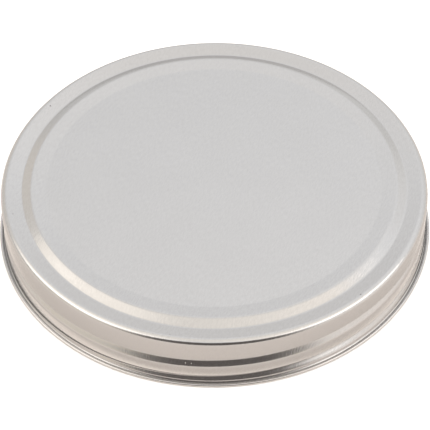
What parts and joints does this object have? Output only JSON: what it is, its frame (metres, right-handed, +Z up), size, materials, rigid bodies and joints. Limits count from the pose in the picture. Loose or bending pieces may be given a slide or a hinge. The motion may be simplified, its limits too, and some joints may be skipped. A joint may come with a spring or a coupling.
{
  "type": "screw lid",
  "caption": "Round flat screw lid of pressed tinplate with a raised centre panel, a sealing channel, a rolled thread in the skirt and a curled hem.",
  "frame": {"origin": "centre of the circle on which the hem stands, at the level of the surface under it", "axes": "+Z up along the lid's axis, out of its top panel; -Y faces the viewer; +X to the viewer's right"},
  "size_m": [0.098, 0.098, 0.0134],
  "materials": {
    "tinplate": "satin tinplate with a fine straight rolling grain",
    "sealing_compound": "matte off-white flowed-in compound"
  },
  "bodies": {
    "root": {"lid_shell": "tinplate", "sealing_ring": "sealing_compound"}
  },
  "joints": []
}
